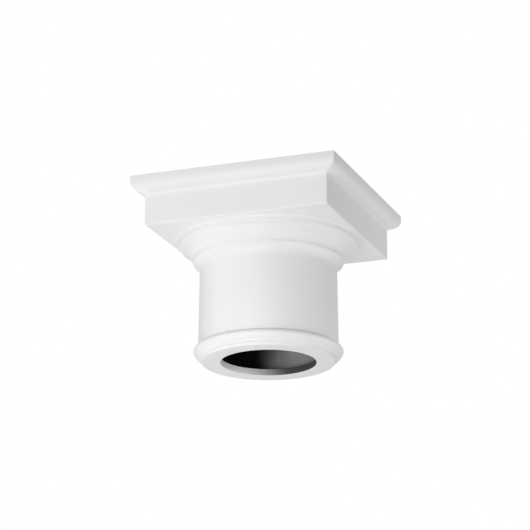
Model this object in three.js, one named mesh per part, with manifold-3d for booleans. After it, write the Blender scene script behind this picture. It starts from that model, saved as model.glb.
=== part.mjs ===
// Plain Tuscan column capital, moulded in one piece: from the bottom up an astragal, a neck, a cavetto,
// a fillet, a small round, an ovolo that flares out at its top, a band and a cove, all round, then a square
// abacus and a square crown moulding. It is open below, where the column's shaft or post enters, and closed
// by a flat plate on top. Millimetres, +Z up, and the origin is the centre of the flat ring that it rests on.
import * as THREE from "three";
import { mergeVertices } from "three/addons/utils/BufferGeometryUtils.js";
import Module from "manifold-3d";

// Neck: the plain drum that every other round member stands out from
const NECK_TOP_RADIUS = 102.6;
const NECK_SPREAD = 1.5; // how much wider the neck is at its foot than at its top
const NECK_HEIGHT = 115.8;

// Astragal: three rounds under the neck, each given by its height and by how far its lower edge stands out
// from the neck's foot
const LOWER_ROUND_HEIGHT = 4.2;
const LOWER_ROUND_INSET = 5.7; // the flat underside ends this far inside the neck's foot
const LOWER_ROUND_BULGE = 0.6;
const MIDDLE_ROUND_HEIGHT = 4.2;
const MIDDLE_ROUND_INSET = 4.2;
const MIDDLE_ROUND_BULGE = 0.9;
const BEAD_FLANK_HEIGHT = 7.2; // from the bead's lower edge to its widest line
const BEAD_FLANK_BULGE = 0.8;
const BEAD_FOOT_PROJECTION = 1.9;
const BEAD_PROJECTION = 7.2;
const BEAD_CROWN_HEIGHT = 6.2; // from the widest line to the line where the neck stands on the bead
const BEAD_CROWN_BULGE = 1.7;
const QUIRK = 0.9; // width of the small square notch between one round and the next
const CREASE_HEIGHT = 1.5; // narrow groove cut into the neck's foot, where it stands on the bead
const CREASE_DEPTH = 2.0;

// From the cavetto to the underside of the abacus: each projection is measured from the member below it
const CAVETTO_HEIGHT = 15.2;
const CAVETTO_PROJECTION = 9.7;
const CAVETTO_HOLLOW = 2.5;
const FILLET_HEIGHT = 5.4;
const FILLET_PROJECTION = 0.3;
const LIP_ROUND_HEIGHT = 2.4; // small round between the fillet and the ovolo
const LIP_ROUND_PROJECTION = 1.6;
const LIP_ROUND_BULGE = 0.5;
const NOTCH_HEIGHT = 0.5; // small square notch under the ovolo
const NOTCH_STEP = 0.4;
const OVOLO_HEIGHT = 12.4;
const OVOLO_PROJECTION = 10.4;
const OVOLO_BULGE = 0.8;
const FLARE_HEIGHT = 3.6; // hollow that levels out under the band
const FLARE_PROJECTION = 7.0;
const FLARE_HOLLOW = 0.9;
const BAND_ROUND_HEIGHT = 3.2; // rounded lower part of the band
const BAND_ROUND_PROJECTION = 1.6;
const BAND_ROUND_BULGE = 0.6;
const BAND_HEIGHT = 3.7; // upright part of the band
const COVE_HEIGHT = 3.0; // hollow between the band and the abacus's underside
const COVE_PROJECTION = 3.1;
const COVE_HOLLOW = 0.8;

// Square members
const ABACUS_OVERHANG = 4.9; // from the cove out to the slab's face, at the middle of each side
const ABACUS_HEIGHT = 44.6;
const ARRIS_ROUND = 1.4; // rounding of the slab's lower edge
const CROWN_COVE_HEIGHT = 4.8;
const CROWN_COVE_PROJECTION = 4.6;
const CROWN_COVE_HOLLOW = 1.2;
const CROWN_OVOLO_HEIGHT = 12.0;
const CROWN_OVOLO_PROJECTION = 12.2;
const CROWN_OVOLO_BULGE = 2.5;
const CROWN_EASING_HEIGHT = 4.6; // almost upright part over the crown's round
const CROWN_EASING_PROJECTION = 0.6;
const CROWN_EASING_BULGE = 0.13;
const FASCIA_HEIGHT = 7.0;

// Hollow for the shaft
const NECK_WALL = 20.6; // at the top of the neck
const LIP_REACH = 11.0; // how far the lip at the mouth reaches inwards from the hollow's wall
const LIP_HEIGHT = 10.0;
const TOP_PLATE = 25.0;

// Facets
const ROUND_SEGMENTS = 80;
const SQUARE_SEGMENTS = 4;
const LONG_CURVE_STEPS = 6;
const SHORT_CURVE_STEPS = 3;

const FINISH_WHITE = 0xf1f1ef;
const FINISH_ROUGHNESS = 0.55;

// A profile is a list of [radius, height] points. This adds a circular stretch from its last point to `end`,
// whose middle stands `bulge` off the straight line between them: outside it, or behind it where the bulge
// is negative.
function arcTo(profile, end, bulge, steps) {
  const [r0, z0] = profile.at(-1);
  const [r1, z1] = end;
  const chord = Math.hypot(r1 - r0, z1 - z0);
  const sagitta = Math.abs(bulge);
  const radius = (chord * chord) / (8 * sagitta) + sagitta / 2;
  const half = Math.asin(chord / (2 * radius));
  const along = [(r1 - r0) / chord, (z1 - z0) / chord];
  const outward = [along[1] * Math.sign(bulge), -along[0] * Math.sign(bulge)];
  for (let i = 1; i <= steps; i += 1) {
    const angle = half * ((2 * i) / steps - 1);
    const run = radius * Math.sin(angle) + chord / 2;
    const rise = radius * Math.cos(angle) - (radius - sagitta);
    profile.push([
      r0 + run * along[0] + rise * outward[0],
      z0 + run * along[1] + rise * outward[1],
    ]);
  }
}

// Adds one straight stretch, given by its steps outward and upward.
function step(profile, outward, up) {
  const [r, z] = profile.at(-1);
  profile.push([r + outward, z + up]);
}

// Adds one curved stretch, given by its steps outward and upward.
function curve(profile, outward, up, bulge, steps) {
  const [r, z] = profile.at(-1);
  arcTo(profile, [r + outward, z + up], bulge, steps);
}

// The three rounds under the neck, from the flat underside to the top of the crease over the bead.
function addAstragal(profile) {
  const neckFoot = NECK_TOP_RADIUS + NECK_SPREAD;
  profile.push([neckFoot - LOWER_ROUND_INSET, 0]);
  const lowerReach = LOWER_ROUND_INSET - MIDDLE_ROUND_INSET - QUIRK;
  curve(profile, lowerReach, LOWER_ROUND_HEIGHT - QUIRK, LOWER_ROUND_BULGE, SHORT_CURVE_STEPS);
  step(profile, 0, QUIRK);
  step(profile, QUIRK, 0);
  const middleReach = MIDDLE_ROUND_INSET + BEAD_FOOT_PROJECTION - QUIRK;
  curve(profile, middleReach, MIDDLE_ROUND_HEIGHT - QUIRK, MIDDLE_ROUND_BULGE, SHORT_CURVE_STEPS);
  step(profile, 0, QUIRK);
  step(profile, QUIRK, 0);
  const flankReach = BEAD_PROJECTION - BEAD_FOOT_PROJECTION;
  curve(profile, flankReach, BEAD_FLANK_HEIGHT, BEAD_FLANK_BULGE, SHORT_CURVE_STEPS);
  curve(profile, QUIRK - BEAD_PROJECTION, BEAD_CROWN_HEIGHT, BEAD_CROWN_BULGE, LONG_CURVE_STEPS);
  step(profile, -QUIRK - CREASE_DEPTH, 0);
  step(profile, 0, CREASE_HEIGHT);
  step(profile, CREASE_DEPTH, 0);
}

// From the top of the neck to the underside of the abacus.
function addEchinus(profile) {
  curve(profile, CAVETTO_PROJECTION, CAVETTO_HEIGHT, -CAVETTO_HOLLOW, LONG_CURVE_STEPS);
  step(profile, FILLET_PROJECTION, 0);
  step(profile, 0, FILLET_HEIGHT);
  curve(profile, LIP_ROUND_PROJECTION, LIP_ROUND_HEIGHT, LIP_ROUND_BULGE, SHORT_CURVE_STEPS);
  step(profile, 0, NOTCH_HEIGHT);
  step(profile, NOTCH_STEP, 0);
  curve(profile, OVOLO_PROJECTION, OVOLO_HEIGHT, OVOLO_BULGE, LONG_CURVE_STEPS);
  curve(profile, FLARE_PROJECTION, FLARE_HEIGHT, -FLARE_HOLLOW, LONG_CURVE_STEPS);
  curve(profile, BAND_ROUND_PROJECTION, BAND_ROUND_HEIGHT, BAND_ROUND_BULGE, SHORT_CURVE_STEPS);
  step(profile, 0, BAND_HEIGHT);
  curve(profile, COVE_PROJECTION, COVE_HEIGHT, -COVE_HOLLOW, SHORT_CURVE_STEPS);
}

// How far a quarter circle stands off its own chord.
function quarterSagitta(radius) {
  return radius * (1 - Math.SQRT1_2);
}

// From the rounded lower edge of the abacus to the flat top.
function addCrown(profile) {
  curve(profile, ARRIS_ROUND, ARRIS_ROUND, quarterSagitta(ARRIS_ROUND), SHORT_CURVE_STEPS);
  step(profile, 0, ABACUS_HEIGHT - ARRIS_ROUND);
  curve(profile, CROWN_COVE_PROJECTION, CROWN_COVE_HEIGHT, -CROWN_COVE_HOLLOW, SHORT_CURVE_STEPS);
  curve(profile, CROWN_OVOLO_PROJECTION, CROWN_OVOLO_HEIGHT, CROWN_OVOLO_BULGE, LONG_CURVE_STEPS);
  curve(profile, CROWN_EASING_PROJECTION, CROWN_EASING_HEIGHT, CROWN_EASING_BULGE, SHORT_CURVE_STEPS);
  step(profile, 0, FASCIA_HEIGHT);
}

// Turns a profile, closed along the axis, once round it.
function turned(profile, segments, start, stretch) {
  const points = profile.map(([r, z]) => new THREE.Vector2(r * stretch, z));
  const geometry = new THREE.LatheGeometry(points, segments, start);
  return geometry.rotateX(Math.PI / 2);
}

// A round body: its corners lie on the true circle.
function roundBody(profile) {
  return turned(profile, ROUND_SEGMENTS, 0, 1);
}

// A square body with mitred corners: the profile's radius is the distance from the axis to each flat side.
function squareBody(profile) {
  return turned(profile, SQUARE_SEGMENTS, Math.PI / SQUARE_SEGMENTS, Math.SQRT2);
}

const wasm = await Module();
wasm.setup();

// A closed geometry as a solid that can be joined and cut.
function toSolid(geometry) {
  geometry.deleteAttribute("normal");
  geometry.deleteAttribute("uv");
  const merged = mergeVertices(geometry);
  return new wasm.Manifold(
    new wasm.Mesh({
      numProp: 3,
      vertProperties: merged.attributes.position.array,
      triVerts: new Uint32Array(merged.index.array),
    }),
  );
}

// A solid back as a geometry with flat facets.
function toGeometry(solid) {
  const mesh = solid.getMesh();
  const geometry = new THREE.BufferGeometry();
  geometry.setAttribute("position", new THREE.BufferAttribute(mesh.vertProperties, 3));
  geometry.setIndex(new THREE.BufferAttribute(mesh.triVerts, 1));
  const flat = geometry.toNonIndexed();
  flat.computeVertexNormals();
  return flat;
}

const roundProfile = [[0, 0]];
addAstragal(roundProfile);
step(roundProfile, -NECK_SPREAD, NECK_HEIGHT - CREASE_HEIGHT);
addEchinus(roundProfile);
const [coveRadius, soffitHeight] = roundProfile.at(-1);

const squareProfile = [
  [0, soffitHeight],
  [coveRadius + ABACUS_OVERHANG - ARRIS_ROUND, soffitHeight],
];
addCrown(squareProfile);
const topHeight = squareProfile.at(-1)[1];
squareProfile.push([0, topHeight]);

// The round body runs up inside the abacus, so that the two join in one solid.
const joinHeight = soffitHeight + ABACUS_HEIGHT / 2;
roundProfile.push([coveRadius, joinHeight]);
roundProfile.push([0, joinHeight]);

// The hollow's cutter starts below the underside, so that the mouth is cut clean through.
const hollowRadius = NECK_TOP_RADIUS - NECK_WALL;
const mouthRadius = hollowRadius - LIP_REACH;
const hollowTop = topHeight - TOP_PLATE;
const hollowProfile = [
  [0, -LIP_HEIGHT],
  [mouthRadius, -LIP_HEIGHT],
  [mouthRadius, LIP_HEIGHT],
  [hollowRadius, LIP_HEIGHT],
  [hollowRadius, hollowTop],
  [0, hollowTop],
];

const body = toSolid(roundBody(roundProfile)).add(toSolid(squareBody(squareProfile)));
const hollowed = body.subtract(toSolid(roundBody(hollowProfile)));

const capital = new THREE.Mesh(
  toGeometry(hollowed),
  new THREE.MeshStandardMaterial({
    color: FINISH_WHITE,
    roughness: FINISH_ROUGHNESS,
    metalness: 0,
  }),
);
capital.name = "capital";

const group = new THREE.Group();
group.add(capital);

export default group;
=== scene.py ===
"""Plain white column capital: one moulding, worked out as a single closed surface, over a pale floor."""

import math

import bpy
import numpy as np
from bpy.props import FloatProperty, FloatVectorProperty, IntProperty, PointerProperty
from mathutils import Matrix, Vector


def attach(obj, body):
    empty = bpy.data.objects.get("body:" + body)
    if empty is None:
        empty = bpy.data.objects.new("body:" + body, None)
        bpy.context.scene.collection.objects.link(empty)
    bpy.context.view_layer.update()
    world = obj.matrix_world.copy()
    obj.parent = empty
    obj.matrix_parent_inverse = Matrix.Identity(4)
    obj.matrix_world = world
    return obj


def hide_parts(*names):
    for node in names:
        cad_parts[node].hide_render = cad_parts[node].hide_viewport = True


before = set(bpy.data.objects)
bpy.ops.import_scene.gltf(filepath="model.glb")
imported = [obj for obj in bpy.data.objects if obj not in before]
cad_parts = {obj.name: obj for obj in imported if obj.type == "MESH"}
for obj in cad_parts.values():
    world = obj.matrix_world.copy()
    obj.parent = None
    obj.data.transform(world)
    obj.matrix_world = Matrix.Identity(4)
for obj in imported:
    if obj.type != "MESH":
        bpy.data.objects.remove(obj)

bl_info = {
    "name": "Column Capital",
    "version": (1, 0, 0),
    "blender": (4, 5, 0),
    "location": "3D View > Sidebar > Capital",
    "description": "Builds a plain moulded column capital and a pale stage around it",
    "category": "Add Mesh",
}

CAD_NODE = "capital"
BODY = "root"
MM = 0.001


def length(name, description, mm):
    """A length property whose default is given in millimetres."""
    return FloatProperty(name=name, description=description, default=mm * MM, unit="LENGTH", precision=4)


def colour(name, description, default):
    """A colour property."""
    return FloatVectorProperty(
        name=name, description=description, subtype="COLOR", default=default, min=0.0, max=1.0
    )


def power(name, description, watts):
    """The power of a light, as a property."""
    return FloatProperty(name=name, description=description, default=watts, unit="POWER")


def turn(name, description, degrees):
    """An angle property whose default is given in degrees."""
    return FloatProperty(
        name=name, description=description, subtype="ANGLE", default=math.radians(degrees)
    )


class CapitalSizes(bpy.types.PropertyGroup):
    """Sizes of the moulding's members, each measured from the member below it."""

    neck_radius: length("Neck radius", "Radius at the top of the neck", 102.6)
    neck_spread: length("Neck spread", "How much wider the neck is at its foot", 1.5)
    neck_height: length("Neck height", "From the bead to the cavetto", 115.8)

    lower_round_height: length("Lower round height", "Lowest of the three rounds under the neck", 4.2)
    lower_round_inset: length("Lower round inset", "From the neck's foot in to the underside's rim", 5.7)
    lower_round_bulge: length("Lower round bulge", "How far the lower round stands off its chord", 0.6)
    middle_round_height: length("Middle round height", "Round between the lowest one and the bead", 4.2)
    middle_round_inset: length("Middle round inset", "From the neck's foot in to this round's lower edge", 4.2)
    middle_round_bulge: length("Middle round bulge", "How far the middle round stands off its chord", 0.9)
    bead_foot: length("Bead foot", "How far the bead's lower edge stands out from the neck's foot", 1.9)
    bead_projection: length("Bead projection", "How far the bead stands out from the neck's foot", 7.2)
    bead_flank_height: length("Bead flank height", "From the bead's lower edge to its widest line", 7.2)
    bead_flank_bulge: length("Bead flank bulge", "How far the bead's flank stands off its chord", 0.8)
    bead_crown_height: length("Bead crown height", "From the widest line to the neck", 6.2)
    bead_crown_bulge: length("Bead crown bulge", "How far the bead's crown stands off its chord", 1.7)
    quirk: length("Quirk", "Width of the small notch beside each round", 0.9)
    crease_height: length("Crease height", "Narrow groove where the neck stands on the bead", 1.5)
    crease_depth: length("Crease depth", "How far that groove is cut into the neck", 2.0)

    cavetto_height: length("Cavetto height", "Hollow moulding over the neck", 15.2)
    cavetto_projection: length("Cavetto projection", "How far the cavetto spreads", 9.7)
    cavetto_hollow: length("Cavetto hollow", "How far the cavetto sinks behind its chord", 2.5)
    fillet_height: length("Fillet height", "Upright fillet over the cavetto", 5.4)
    fillet_projection: length("Fillet projection", "Step from the cavetto to the fillet", 0.3)
    lip_round_height: length("Lip round height", "Small round under the ovolo", 2.4)
    lip_round_projection: length("Lip round projection", "How far that small round stands out", 1.6)
    lip_round_bulge: length("Lip round bulge", "How far that small round stands off its chord", 0.5)
    notch_height: length("Notch height", "Upright side of the small notch under the ovolo", 0.5)
    notch_step: length("Notch step", "Flat side of that notch", 0.4)
    ovolo_height: length("Ovolo height", "The echinus's long round", 12.4)
    ovolo_projection: length("Ovolo projection", "How far the long round spreads", 10.4)
    ovolo_bulge: length("Ovolo bulge", "How far the long round stands off its chord", 0.8)
    flare_height: length("Flare height", "Hollow that levels out under the band", 3.6)
    flare_projection: length("Flare projection", "How far that hollow spreads", 7.0)
    flare_hollow: length("Flare hollow", "How far it sinks behind its chord", 0.9)
    band_round_height: length("Band round height", "Rounded lower part of the band", 3.2)
    band_round_projection: length("Band round projection", "How far that part reaches out", 1.6)
    band_round_bulge: length("Band round bulge", "How far that part stands off its chord", 0.6)
    band_height: length("Band height", "Upright band over its rounded part", 3.7)
    cove_height: length("Cove height", "Hollow between the band and the abacus", 3.0)
    cove_projection: length("Cove projection", "How far that hollow spreads", 3.1)
    cove_hollow: length("Cove hollow", "How far it sinks behind its chord", 0.8)

    abacus_overhang: length("Abacus overhang", "From the cove out to the slab's face, at mid side", 4.9)
    abacus_height: length("Abacus height", "Upright face of the square slab", 44.6)
    arris_round: length("Arris round", "Rounding of the slab's lower edge", 1.4)
    crown_cove_height: length("Crown cove height", "Hollow under the crown moulding", 4.8)
    crown_cove_projection: length("Crown cove projection", "How far that hollow spreads", 4.6)
    crown_cove_hollow: length("Crown cove depth", "How far it sinks behind its chord", 1.2)
    crown_height: length("Crown height", "Round part of the crown moulding", 12.0)
    crown_projection: length("Crown projection", "How far the round part spreads", 12.2)
    crown_bulge: length("Crown bulge", "How far it stands off its chord", 2.5)
    easing_height: length("Easing height", "Almost upright part over the crown's round", 4.6)
    easing_projection: length("Easing projection", "How far that part leans out", 0.6)
    easing_bulge: length("Easing bulge", "How far it stands off its chord", 0.13)
    fascia_height: length("Fascia height", "Upright strip at the top", 7.0)

    neck_wall: length("Neck wall", "Wall between the neck and the hollow", 20.6)
    lip_reach: length("Lip reach", "How far the lip closes in on the mouth", 11.0)
    lip_height: length("Lip height", "Thickness of the lip at the mouth", 10.0)
    top_plate: length("Top plate", "Solid left above the hollow", 25.0)

    edge_softness: length("Edge softness", "Spread of the rounding on every edge of the profile", 0.45)
    arris_radius: length("Arris radius", "Rounding of the square members' upright corners", 0.6)
    around: IntProperty(
        name="Steps around", description="Evenly spaced steps around the axis", default=240, min=32, max=720
    )


class CapitalFinish(bpy.types.PropertyGroup):
    """Colours of the finish, of the painted shade and painted light on the lip and in the hollow, and of the
    floor.
    """

    white: colour("White coat", "Smooth coat on every outer face", (0.87, 0.87, 0.868))
    # Painted shade: near black colour for the shade deep inside the hollow.
    skin: colour("Dark skin", "Shaded dark skin inside the hollow", (0.004, 0.004, 0.004))
    # Painted light: a lighter grey on one side of the hollow, where light falls on the far wall.
    painted_light_grey: colour("Painted light", "Thin grey painted light that reached one side of the hollow", (0.5, 0.5, 0.5))
    # Painted shade: the dark colour that the lip turns to on its shaded side.
    lip_shade_tone: colour("Shaded lip", "The lip where the white coat has run out", (0.08, 0.08, 0.08))
    floor: colour("Floor", "Pale studio floor", (0.85, 0.85, 0.85))


class StageSettings(bpy.types.PropertyGroup):
    """Where the camera stands, and where and how strong the lights are."""

    azimuth: turn("Camera azimuth", "From straight in front, towards +X", 20.396)
    elevation: turn("Camera elevation", "Above the horizon", -17.621)
    distance: length("Camera distance", "From the camera to the depth of the neck's axis", 3913.9)
    aim_right: length("Aim right", "Centre of the picture, right of the origin", -5.18)
    aim_up: length("Aim up", "Centre of the picture, above the origin", 144.64)
    lens: FloatProperty(
        name="Lens", description="Focal length on a 36 mm sensor", subtype="DISTANCE_CAMERA", default=179.87
    )
    floor_drop: length("Floor drop", "From the underside down to the floor", 4500.0)
    front_power: power("Front light", "Main soft light", 2.38)
    low_power: power("Low light", "Soft light under the front one", 1.30)
    left_power: power("Left light", "Soft light at the left", 1.14)
    right_power: power("Right light", "Soft light behind the right side", 1.75)
    back_power: power("Back light", "Low soft light behind the left side", 1.60)
    top_power: power("Top light", "Soft light straight above", 2.0)
    rear_power: power("Rear light", "Soft light opposite the camera", 1.5)
    light_distance: length("Light distance", "From each light to the middle of the capital", 850.0)
    light_size: length("Light size", "Side of each square light", 500.0)
    room: FloatProperty(
        name="Room light", description="Strength of the even light from the room", default=0.462
    )


def sizes():
    """The sizes set in the sidebar."""
    return bpy.context.scene.capital_sizes


def finish():
    """The colours set in the sidebar."""
    return bpy.context.scene.capital_finish


def stage():
    """The camera's and the lights' settings."""
    return bpy.context.scene.capital_stage


SPACING = 0.12 * MM  # between the points that the profile is first drawn with
SMOOTH_REACH = 4.0  # spreads of the bell curve that are counted on each side
LONGEST_STEP = 9.0 * MM  # between stations of the thinned profile
LARGEST_TURN = math.radians(8.0)  # of the profile from one station to the next
CORNER_ANGLES = 9  # directions across each rounded upright corner
LEAST_GAP = math.radians(0.05)  # between an even direction and one that belongs to a corner
LARGEST_CORNER = 0.5  # of the square's half width
LEDGE, MOUTH_WALL = 2, 3  # places in the profile of the ledge over the lip and of the lip's own wall
OUTSIDE, LIP, HOLLOW = range(3)


def stretch(start, outward, upward, bulge):
    """Points from start to start + (outward, upward), start left out: a straight line, or the circular arc
    whose middle stands the bulge off that chord, to the outside, or inwards where the bulge is negative. The
    arc's radius is chord squared over 8 bulges, plus half the bulge."""
    chord = math.hypot(outward, upward)
    count = max(2, int(math.ceil(chord / SPACING)))
    share = np.arange(1, count + 1) / count
    along = np.array([outward, upward]) / chord
    if not bulge:
        return np.asarray(start) + np.outer(share * chord, along)
    sagitta = abs(bulge)
    radius = chord * chord / (8 * sagitta) + sagitta / 2
    half = math.asin(chord / (2 * radius))
    angle = half * (2 * share - 1)
    run = radius * np.sin(angle) + chord / 2
    rise = radius * np.cos(angle) - (radius - sagitta)
    across = np.array([along[1], -along[0]]) * math.copysign(1, bulge)
    return np.asarray(start) + np.outer(run, along) + np.outer(rise, across)


def profile_members(s):
    """The height of the hollow's ceiling, then the whole profile as (outward, upward, bulge) stretches: from
    the middle of that ceiling down the hollow's wall, out over the underside, up every moulding and in again to
    the middle of the top. Last, the place in that list of the soffit, where the square members begin."""
    hollow_radius = s.neck_radius - s.neck_wall
    mouth_radius = hollow_radius - s.lip_reach
    foot_radius = s.neck_radius + s.neck_spread - s.lower_round_inset
    lower_reach = s.lower_round_inset - s.middle_round_inset - s.quirk
    middle_reach = s.middle_round_inset + s.bead_foot - s.quirk
    astragal = [
        (lower_reach, s.lower_round_height - s.quirk, s.lower_round_bulge),
        (0, s.quirk, 0),
        (s.quirk, 0, 0),
        (middle_reach, s.middle_round_height - s.quirk, s.middle_round_bulge),
        (0, s.quirk, 0),
        (s.quirk, 0, 0),
        (s.bead_projection - s.bead_foot, s.bead_flank_height, s.bead_flank_bulge),
        (s.quirk - s.bead_projection, s.bead_crown_height, s.bead_crown_bulge),
        (-s.quirk - s.crease_depth, 0, 0),
        (0, s.crease_height, 0),
        (s.crease_depth, 0, 0),
    ]
    neck = [(-s.neck_spread, s.neck_height - s.crease_height, 0)]
    echinus = [
        (s.cavetto_projection, s.cavetto_height, -s.cavetto_hollow),
        (s.fillet_projection, 0, 0),
        (0, s.fillet_height, 0),
        (s.lip_round_projection, s.lip_round_height, s.lip_round_bulge),
        (0, s.notch_height, 0),
        (s.notch_step, 0, 0),
        (s.ovolo_projection, s.ovolo_height, s.ovolo_bulge),
        (s.flare_projection, s.flare_height, -s.flare_hollow),
        (s.band_round_projection, s.band_round_height, s.band_round_bulge),
        (0, s.band_height, 0),
        (s.cove_projection, s.cove_height, -s.cove_hollow),
    ]
    edge = s.arris_round
    quarter_bulge = edge * (1 - math.sqrt(0.5))
    crown = [
        (s.abacus_overhang - edge, 0, 0),
        (edge, edge, quarter_bulge),
        (0, s.abacus_height - edge, 0),
        (s.crown_cove_projection, s.crown_cove_height, -s.crown_cove_hollow),
        (s.crown_projection, s.crown_height, s.crown_bulge),
        (s.easing_projection, s.easing_height, s.easing_bulge),
        (0, s.fascia_height, 0),
    ]
    outside = astragal + neck + echinus + crown
    top = sum(member[1] for member in outside)
    hollow_top = top - s.top_plate
    inside = [
        (hollow_radius, 0, 0),
        (0, s.lip_height - hollow_top, 0),
        (-s.lip_reach, 0, 0),
        (0, -s.lip_height, 0),
        (foot_radius - mouth_radius, 0, 0),
    ]
    full_width = foot_radius + sum(member[0] for member in outside)
    members = inside + outside + [(-full_width, 0, 0)]
    return hollow_top, members, len(inside + astragal + neck + echinus)


def soften(points, softness):
    """The profile with every edge rounded: each point becomes the average of its neighbours along the line,
    weighted by a bell curve of the given spread. The ends run on straight, so they stay where they are."""
    steps = np.hypot(*np.diff(points, axis=0).T)
    run = np.concatenate([[0], np.cumsum(steps)])
    count = int(round(run[-1] / SPACING))
    even = np.linspace(0, run[-1], count + 1)
    line = np.column_stack([np.interp(even, run, points[:, k]) for k in (0, 1)])
    pitch = even[1]
    reach = int(math.ceil(SMOOTH_REACH * softness / pitch))
    bell = np.exp(-0.5 * (np.arange(-reach, reach + 1) * pitch / softness) ** 2)
    bell /= bell.sum()
    before = line[0] + np.outer(np.arange(-reach, 0), line[1] - line[0])
    after = line[-1] + np.outer(np.arange(1, reach + 1), line[-1] - line[-2])
    padded = np.vstack([before, line, after])
    return even, np.column_stack([np.convolve(padded[:, k], bell, "valid") for k in (0, 1)])


def thin_out(run, points):
    """Fewer points: they are spaced evenly in the sum of length over the longest step and turning over the
    largest turn, so straight stretches get few and rounded edges get many."""
    direction = np.unwrap(np.arctan2(*np.diff(points, axis=0).T[::-1]))
    turning = np.concatenate([[0], np.abs(np.diff(direction)), [0]])
    effort = run / LONGEST_STEP + np.cumsum(turning) / LARGEST_TURN
    count = int(math.ceil(effort[-1]))
    wanted = np.linspace(0, effort[-1], count + 1)
    place = np.interp(wanted, effort, run)
    return place, np.column_stack([np.interp(place, run, points[:, k]) for k in (0, 1)])


def directions(s, half_width):
    """Angles around the axis: even steps, and at each diagonal the angles at which a rounded corner of a square
    of that half width turns its normal in even steps."""
    even = np.arange(s.around) * 2 * math.pi / s.around
    normal = np.linspace(0, math.pi / 2, CORNER_ANGLES)
    centre = half_width - s.arris_radius
    corner = np.arctan2(centre + s.arris_radius * np.sin(normal), centre + s.arris_radius * np.cos(normal))
    corners = (corner[None, :] + np.arange(4)[:, None] * math.pi / 2).ravel()
    clear = np.abs(even[:, None] - corners[None, :]).min(axis=1) > LEAST_GAP
    return np.sort(np.concatenate([even[clear], corners]))


def ring_reach(angle, half_width, corner):
    """Distance from the axis to a square of that half width with rounded corners, in each direction: the flat
    side's distance over the larger of |cos| and |sin|, or the far crossing with the corner's circle."""
    larger = np.maximum(np.abs(np.cos(angle)), np.abs(np.sin(angle)))
    smaller = np.minimum(np.abs(np.cos(angle)), np.abs(np.sin(angle)))
    flat = half_width / larger
    centre = half_width - corner
    middle = centre * (larger + smaller)
    inside = np.maximum(middle**2 - 2 * centre**2 + corner**2, 0)
    return np.where(flat * smaller <= centre, flat, middle + np.sqrt(inside))


def moulding_surface(s):
    """The capital as a grid: the thinned profile carried round the axis, each station a circle below the abacus
    and a square with rounded corners from the soffit up. The two ends lie on the axis and close in one point
    each. Returns the points, the faces and, for each face, whether it is outside, on the lip or inside."""
    hollow_top, members, soffit = profile_members(s)
    points = [np.array([[0.0, hollow_top]])]
    marks = []
    for outward, upward, bulge in members:
        points.append(stretch(points[-1][-1], outward, upward, bulge))
        marks.append(len(np.vstack(points)) - 1)
    line = np.vstack(points)
    steps = np.concatenate([[0], np.cumsum(np.hypot(*np.diff(line, axis=0).T))])
    ledge_run, lip_run = steps[marks[LEDGE]], steps[marks[MOUTH_WALL]]
    soffit_run = (steps[marks[soffit - 1]] + steps[marks[soffit]]) / 2
    run, smooth = soften(line, s.edge_softness)
    run, smooth = thin_out(run * steps[-1] / run[-1], smooth)
    radius, height = smooth[1:-1].T
    square = run[1:-1] > soffit_run
    angle = directions(s, radius.max())
    corner = np.minimum(s.arris_radius, radius[:, None] * LARGEST_CORNER)
    squared = ring_reach(angle[None, :], radius[:, None], corner)
    reach = np.where(square[:, None], squared, radius[:, None])
    level = np.broadcast_to(height[:, None], reach.shape)
    rings = np.stack([reach * np.cos(angle), reach * np.sin(angle), level], axis=-1)
    stations, around = reach.shape
    poles = np.array([[0, 0, smooth[0, 1]], [0, 0, smooth[-1, 1]]])
    vertices = np.vstack([rings.reshape(-1, 3), poles])
    here = np.arange(stations * around).reshape(stations, around)
    after = np.roll(here, -1, axis=1)
    quads = np.stack([here[:-1], after[:-1], after[1:], here[1:]], axis=-1).reshape(-1, 4)
    first = np.full(around, stations * around)
    last = first + 1
    ceiling = np.stack([first, after[0], here[0]], axis=-1)
    top = np.stack([last, here[-1], after[-1]], axis=-1)
    faces = quads.tolist() + ceiling.tolist() + top.tolist()
    ends = run[2:-1]
    part = np.where(ends < ledge_run, HOLLOW, np.where(ends < lip_run, LIP, OUTSIDE))
    part = np.concatenate([np.repeat(part, around), np.full(around, HOLLOW), np.full(around, OUTSIDE)])
    return vertices, faces, part


def make_mesh(name, vertices, faces):
    """A mesh object at the origin, linked to the scene."""
    mesh = bpy.data.meshes.new(name)
    mesh.from_pydata(vertices.tolist(), [], faces)
    mesh.validate()
    obj = bpy.data.objects.new(name, mesh)
    bpy.context.scene.collection.objects.link(obj)
    return obj


class CAPITAL_OT_moulding(bpy.types.Operator):
    """Builds the moulding, from the hollow's ceiling to the flat top, as one closed surface"""

    bl_idname = "capital.moulding"
    bl_label = "Moulding"

    def execute(self, context):
        vertices, faces, part = moulding_surface(sizes())
        obj = make_mesh("capital_moulding", vertices, faces)
        # The lip's and the hollow's materials carry painted shade, and the hollow's also a painted lit grey.
        for material in (white_coat(), shaded_lip_coat(), shaded_hollow_coat()):
            obj.data.materials.append(material)
        obj.data.polygons.foreach_set("material_index", part.astype(np.int32))
        obj.data.polygons.foreach_set("use_smooth", np.ones(len(faces), bool))
        obj.data.update()
        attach(obj, BODY)
        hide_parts(CAD_NODE)
        return {"FINISHED"}


def add(nodes, kind, **values):
    """A shader node with its properties and input values set."""
    node = nodes.new(kind)
    for key, value in values.items():
        if hasattr(node, key):
            setattr(node, key, value)
        else:
            node.inputs[key.replace("_", " ")].default_value = value
    return node


MIX_FACTOR, MIX_FIRST, MIX_SECOND, MIX_RESULT = 0, 6, 7, 2  # the colour sockets of a Mix node
CLOUD_NOISE = {"Detail": 3.0, "Roughness": 0.5}
STIPPLE_NOISE = {"Detail": 2.0, "Roughness": 0.6}
FADE_NOISE = {"Scale": 60.0, "Detail": 4.0, "Roughness": 0.6}
NOISE_MIDDLE = 0.5
CLOUD_RANGE = (0.35, 0.65)  # the part of the noise that the two tones are spread over

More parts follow.
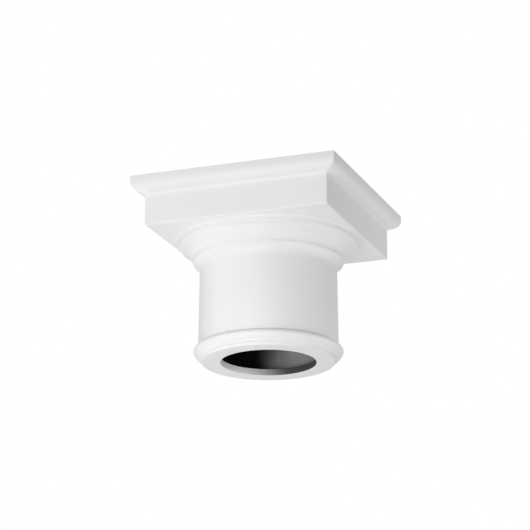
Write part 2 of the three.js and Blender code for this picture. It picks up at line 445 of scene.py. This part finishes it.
# Each finish: how much darker its clouds are, the scales of clouds and stipple, its roughness and its relief
PAINTED = (0.985, 14.0, 620.0, (0.42, 0.6), 0.03 * MM)
# Finish of the hollow, whose near black and grey colours are painted shade and painted light.
HOLLOW_FINISH = (0.8, 30.0, 300.0, (0.65, 0.85), 0.12 * MM)
GROUND = (0.99, 1.5, 40.0, (0.7, 0.8), 0.05 * MM)
HOLLOW_SPECULAR = 0.1
FLOOR_GLOW = 0.12

PLAIN = (1.0, 1.0, 1.0)
# The painted shade on the lip and in the hollow changes along this direction.
FADE_DIRECTION = (0.937, 0.349, 0.0)  # level, along the mouth from one side to the other
FADE_WANDER = 0.012  # metres by which noise moves the place of a fade
# Painted shade on the lip: it turns from the white coat to its dark colour between these places.
LIP_SHADE_SPAN = (-0.040, 0.034)  # metres from the axis where the fade starts and ends
# Painted shade in the hollow: near black at the start, turning to the painted lit grey at the end.
HOLLOW_SHADE_SPAN = (-0.021, 0.046)


def new_group(name, vectors, values, results):
    """An empty shader node group with those input and output sockets, and its input and output nodes."""
    group = bpy.data.node_groups.new(name, "ShaderNodeTree")
    for socket in vectors:
        group.interface.new_socket(socket, in_out="INPUT", socket_type="NodeSocketVector")
    for socket in values:
        group.interface.new_socket(socket, in_out="INPUT", socket_type="NodeSocketFloat")
    for socket in results:
        group.interface.new_socket(socket, in_out="OUTPUT", socket_type="NodeSocketFloat")
    return group, group.nodes.new("NodeGroupInput"), group.nodes.new("NodeGroupOutput")


def mottle_group():
    """Node group for an uneven coat: broad clouds and a fine stipple, both from noise on the object's own
    coordinates. Clouds and stipple come out as values around a half."""
    name = "Uneven coat"
    if name in bpy.data.node_groups:
        return bpy.data.node_groups[name]
    group, given, result = new_group(
        name, ("Vector",), ("Cloud Scale", "Stipple Scale"), ("Clouds", "Stipple")
    )
    nodes, links = group.nodes, group.links
    clouds = add(nodes, "ShaderNodeTexNoise", **CLOUD_NOISE)
    stipple = add(nodes, "ShaderNodeTexNoise", **STIPPLE_NOISE)
    for noise, scale, out in ((clouds, "Cloud Scale", "Clouds"), (stipple, "Stipple Scale", "Stipple")):
        links.new(given.outputs["Vector"], noise.inputs["Vector"])
        links.new(given.outputs[scale], noise.inputs["Scale"])
        links.new(noise.outputs["Fac"], result.inputs[out])
    return group


def shade_fade_group():
    """Node group for painted shade that changes across the part: the place along a level direction, shifted by
    noise, taken smoothly from 0 at the start to 1 at the end."""
    name = "Fading coat"
    if name in bpy.data.node_groups:
        return bpy.data.node_groups[name]
    group, given, result = new_group(name, ("Vector", "Direction"), ("Start", "End", "Wander"), ("Share",))
    nodes, links = group.nodes, group.links
    place = add(nodes, "ShaderNodeVectorMath", operation="DOT_PRODUCT")
    links.new(given.outputs["Vector"], place.inputs[0])
    links.new(given.outputs["Direction"], place.inputs[1])
    noise = add(nodes, "ShaderNodeTexNoise", **FADE_NOISE)
    links.new(given.outputs["Vector"], noise.inputs["Vector"])
    centred = add(nodes, "ShaderNodeMath", operation="SUBTRACT")
    links.new(noise.outputs["Fac"], centred.inputs[0])
    centred.inputs[1].default_value = NOISE_MIDDLE
    shifted = add(nodes, "ShaderNodeMath", operation="MULTIPLY_ADD")
    links.new(centred.outputs["Value"], shifted.inputs[0])
    links.new(given.outputs["Wander"], shifted.inputs[1])
    links.new(place.outputs["Value"], shifted.inputs[2])
    share = add(nodes, "ShaderNodeMapRange", interpolation_type="SMOOTHSTEP")
    links.new(shifted.outputs["Value"], share.inputs["Value"])
    links.new(given.outputs["Start"], share.inputs["From Min"])
    links.new(given.outputs["End"], share.inputs["From Max"])
    links.new(share.outputs["Result"], result.inputs["Share"])
    return group


def shader_of(material):
    """The material's own Principled shader."""
    return material.node_tree.nodes["Principled BSDF"]


def two_tones(nodes, first, second):
    """A node that mixes two colours by its factor."""
    tones = add(nodes, "ShaderNodeMix", data_type="RGBA")
    tones.inputs[MIX_FIRST].default_value = (*first, 1)
    tones.inputs[MIX_SECOND].default_value = (*second, 1)
    return tones


def coat_material(name, tone, recipe):
    """A coat whose colour drifts between two near tones with broad clouds, with a fine stipple in its relief
    and a roughness that follows the stipple."""
    darker, cloud_scale, stipple_scale, roughness, relief = recipe
    material = bpy.data.materials.new(name)
    material.use_nodes = True
    nodes, links = material.node_tree.nodes, material.node_tree.links
    shader = shader_of(material)
    place = nodes.new("ShaderNodeTexCoord")
    coat = nodes.new("ShaderNodeGroup")
    coat.node_tree = mottle_group()
    coat.inputs["Cloud Scale"].default_value = cloud_scale
    coat.inputs["Stipple Scale"].default_value = stipple_scale
    links.new(place.outputs["Object"], coat.inputs["Vector"])
    tones = two_tones(nodes, [c * darker for c in tone], tone)
    spread = add(nodes, "ShaderNodeMapRange")
    spread.inputs["From Min"].default_value, spread.inputs["From Max"].default_value = CLOUD_RANGE
    links.new(coat.outputs["Clouds"], spread.inputs["Value"])
    links.new(spread.outputs["Result"], tones.inputs[MIX_FACTOR])
    links.new(tones.outputs[MIX_RESULT], shader.inputs["Base Color"])
    sheen = add(nodes, "ShaderNodeMapRange")
    sheen.inputs["To Min"].default_value, sheen.inputs["To Max"].default_value = roughness
    links.new(coat.outputs["Stipple"], sheen.inputs["Value"])
    links.new(sheen.outputs["Result"], shader.inputs["Roughness"])
    bump = add(nodes, "ShaderNodeBump", Strength=1.0, Distance=relief)
    links.new(coat.outputs["Stipple"], bump.inputs["Height"])
    links.new(bump.outputs["Normal"], shader.inputs["Normal"])
    return material


def paint_shade_across(material, first, second, places):
    """Paints shade across a coat: gives it a colour that goes from the first to the second between two places
    across the part, times the coat's own clouds."""
    nodes, links = material.node_tree.nodes, material.node_tree.links
    base = shader_of(material).inputs["Base Color"]
    mottled = base.links[0].from_socket
    place = nodes.new("ShaderNodeTexCoord")
    fade = nodes.new("ShaderNodeGroup")
    fade.node_tree = shade_fade_group()
    fade.inputs["Direction"].default_value = FADE_DIRECTION
    fade.inputs["Start"].default_value, fade.inputs["End"].default_value = places
    fade.inputs["Wander"].default_value = FADE_WANDER
    links.new(place.outputs["Object"], fade.inputs["Vector"])
    tones = two_tones(nodes, first, second)
    links.new(fade.outputs["Share"], tones.inputs[MIX_FACTOR])
    joined = add(nodes, "ShaderNodeMix", data_type="RGBA", blend_type="MULTIPLY")
    joined.inputs[MIX_FACTOR].default_value = 1.0
    links.new(mottled, joined.inputs[MIX_FIRST])
    links.new(tones.outputs[MIX_RESULT], joined.inputs[MIX_SECOND])
    links.new(joined.outputs[MIX_RESULT], base)


def white_coat():
    """Smooth satin-matt white coat over the moulding."""
    return coat_material("White coat", finish().white, PAINTED)


def shaded_lip_coat():
    """White coat along the lip with painted shade: it turns to a dark colour towards one side."""
    material = coat_material("Lip skin", PLAIN, PAINTED)
    paint_shade_across(material, finish().white, finish().lip_shade_tone, LIP_SHADE_SPAN)
    return material


def shaded_hollow_coat():
    """Painted shade inside the hollow, near black, with a painted lighter grey on one side where light falls on
    the far wall.
    """
    material = coat_material("Hollow skin", PLAIN, HOLLOW_FINISH)
    shader_of(material).inputs["Specular IOR Level"].default_value = HOLLOW_SPECULAR
    paint_shade_across(material, finish().skin, finish().painted_light_grey, HOLLOW_SHADE_SPAN)
    return material


def floor_material():
    """Pale studio floor. It looks paler to the camera than it lights the capital, like the white background."""
    material = coat_material("Studio floor", finish().floor, GROUND)
    shader = shader_of(material)
    path = material.node_tree.nodes.new("ShaderNodeLightPath")
    shader.inputs["Emission Color"].default_value = (FLOOR_GLOW, FLOOR_GLOW, FLOOR_GLOW, 1)
    material.node_tree.links.new(path.outputs["Is Camera Ray"], shader.inputs["Emission Strength"])
    return material


# Each light's name, and its azimuth and elevation in degrees
LIGHTS = (
    ("front", 0, -20),
    ("low", 0, -50),
    ("left", 300, 10),
    ("right", 120, -20),
    ("back", 240, -50),
    ("top", 0, 90),
    ("rear", 200, 18),
)
MIDDLE_HEIGHT = 0.13  # metres from the underside to the point that the lights face
CAMERA_SIGHT = 100.0  # metres
FLOOR_REACH = 60.0  # metres from the axis to each side of the floor


def towards(azimuth, elevation):
    """Direction from the capital to a place given by its azimuth, from the front towards +X, and elevation."""
    level = math.cos(elevation)
    return Vector((math.sin(azimuth) * level, -math.cos(azimuth) * level, math.sin(elevation)))


def camera_axes():
    """Right, up and back directions of the camera, from its azimuth and elevation."""
    azimuth = stage().azimuth
    back = towards(azimuth, stage().elevation)
    right = Vector((math.cos(azimuth), math.sin(azimuth), 0))
    return right, back.cross(right), back


def add_camera():
    """The camera, turned to its axes, with the middle of its picture on the aim point."""
    right, up, back = camera_axes()
    data = bpy.data.cameras.new("camera")
    data.lens = stage().lens
    data.clip_end = CAMERA_SIGHT
    camera = bpy.data.objects.new("camera", data)
    bpy.context.scene.collection.objects.link(camera)
    place = right * stage().aim_right + up * stage().aim_up + back * stage().distance
    facing = Matrix((right, up, back)).transposed().to_4x4()
    camera.matrix_world = Matrix.Translation(place) @ facing
    bpy.context.scene.camera = camera


def add_light(name, watts, azimuth, elevation):
    """A square soft light that faces the middle of the capital from an azimuth and an elevation in degrees."""
    data = bpy.data.lights.new(name + " light", "AREA")
    data.energy = watts
    data.size = stage().light_size
    light = bpy.data.objects.new(name + " light", data)
    bpy.context.scene.collection.objects.link(light)
    light.visible_camera = False
    back = towards(math.radians(azimuth), math.radians(elevation))
    light.location = Vector((0, 0, MIDDLE_HEIGHT)) + back * stage().light_distance
    light.rotation_euler = (-back).to_track_quat("-Z", "Y").to_euler()


def add_room(strength):
    """Even light from the room, and a plain white background."""
    world = bpy.data.worlds.new("Room")
    world.use_nodes = True
    nodes, links = world.node_tree.nodes, world.node_tree.links
    nodes.clear()
    seen = add(nodes, "ShaderNodeBackground", Color=(1, 1, 1, 1), Strength=1.0)
    lit = add(nodes, "ShaderNodeBackground", Color=(1, 1, 1, 1), Strength=strength)
    path = nodes.new("ShaderNodeLightPath")
    mix = nodes.new("ShaderNodeMixShader")
    out = nodes.new("ShaderNodeOutputWorld")
    links.new(path.outputs["Is Camera Ray"], mix.inputs["Fac"])
    links.new(lit.outputs[0], mix.inputs[1])
    links.new(seen.outputs[0], mix.inputs[2])
    links.new(mix.outputs[0], out.inputs["Surface"])
    bpy.context.scene.world = world


class CAPITAL_OT_stage(bpy.types.Operator):
    """Builds the pale floor, the soft lights and the camera"""

    bl_idname = "capital.stage"
    bl_label = "Stage"

    def execute(self, context):
        s = stage()
        corners = np.array([[-1, -1], [1, -1], [1, 1], [-1, 1]]) * FLOOR_REACH
        heights = np.full((4, 1), -s.floor_drop)
        floor = make_mesh("floor", np.hstack([corners, heights]), [[0, 1, 2, 3]])
        floor.data.materials.append(floor_material())
        for name, azimuth, elevation in LIGHTS:
            add_light(name, getattr(s, name + "_power"), azimuth, elevation)
        add_room(s.room)
        add_camera()
        context.scene.view_settings.view_transform = "Standard"
        return {"FINISHED"}


class CAPITAL_PT_panel(bpy.types.Panel):
    """Sidebar panel with the pieces, their sizes and their colours"""

    bl_idname = "CAPITAL_PT_panel"
    bl_label = "Column Capital"
    bl_space_type = "VIEW_3D"
    bl_region_type = "UI"
    bl_category = "Capital"

    def draw(self, context):
        layout = self.layout
        layout.operator(CAPITAL_OT_moulding.bl_idname)
        layout.operator(CAPITAL_OT_stage.bl_idname)
        for settings in (sizes(), finish(), stage()):
            box = layout.box()
            for key in settings.__annotations__:
                box.prop(settings, key)


CLASSES = (CapitalSizes, CapitalFinish, StageSettings, CAPITAL_OT_moulding, CAPITAL_OT_stage, CAPITAL_PT_panel)
SETTINGS = {"capital_sizes": CapitalSizes, "capital_finish": CapitalFinish, "capital_stage": StageSettings}


def register():
    for cls in CLASSES:
        bpy.utils.register_class(cls)
    for name, group in SETTINGS.items():
        setattr(bpy.types.Scene, name, PointerProperty(type=group))


def unregister():
    for name in SETTINGS:
        delattr(bpy.types.Scene, name)
    for cls in reversed(CLASSES):
        bpy.utils.unregister_class(cls)


def main():
    register()
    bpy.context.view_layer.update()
    bpy.ops.capital.moulding()
    bpy.ops.capital.stage()


if __name__ == "__main__":
    main()
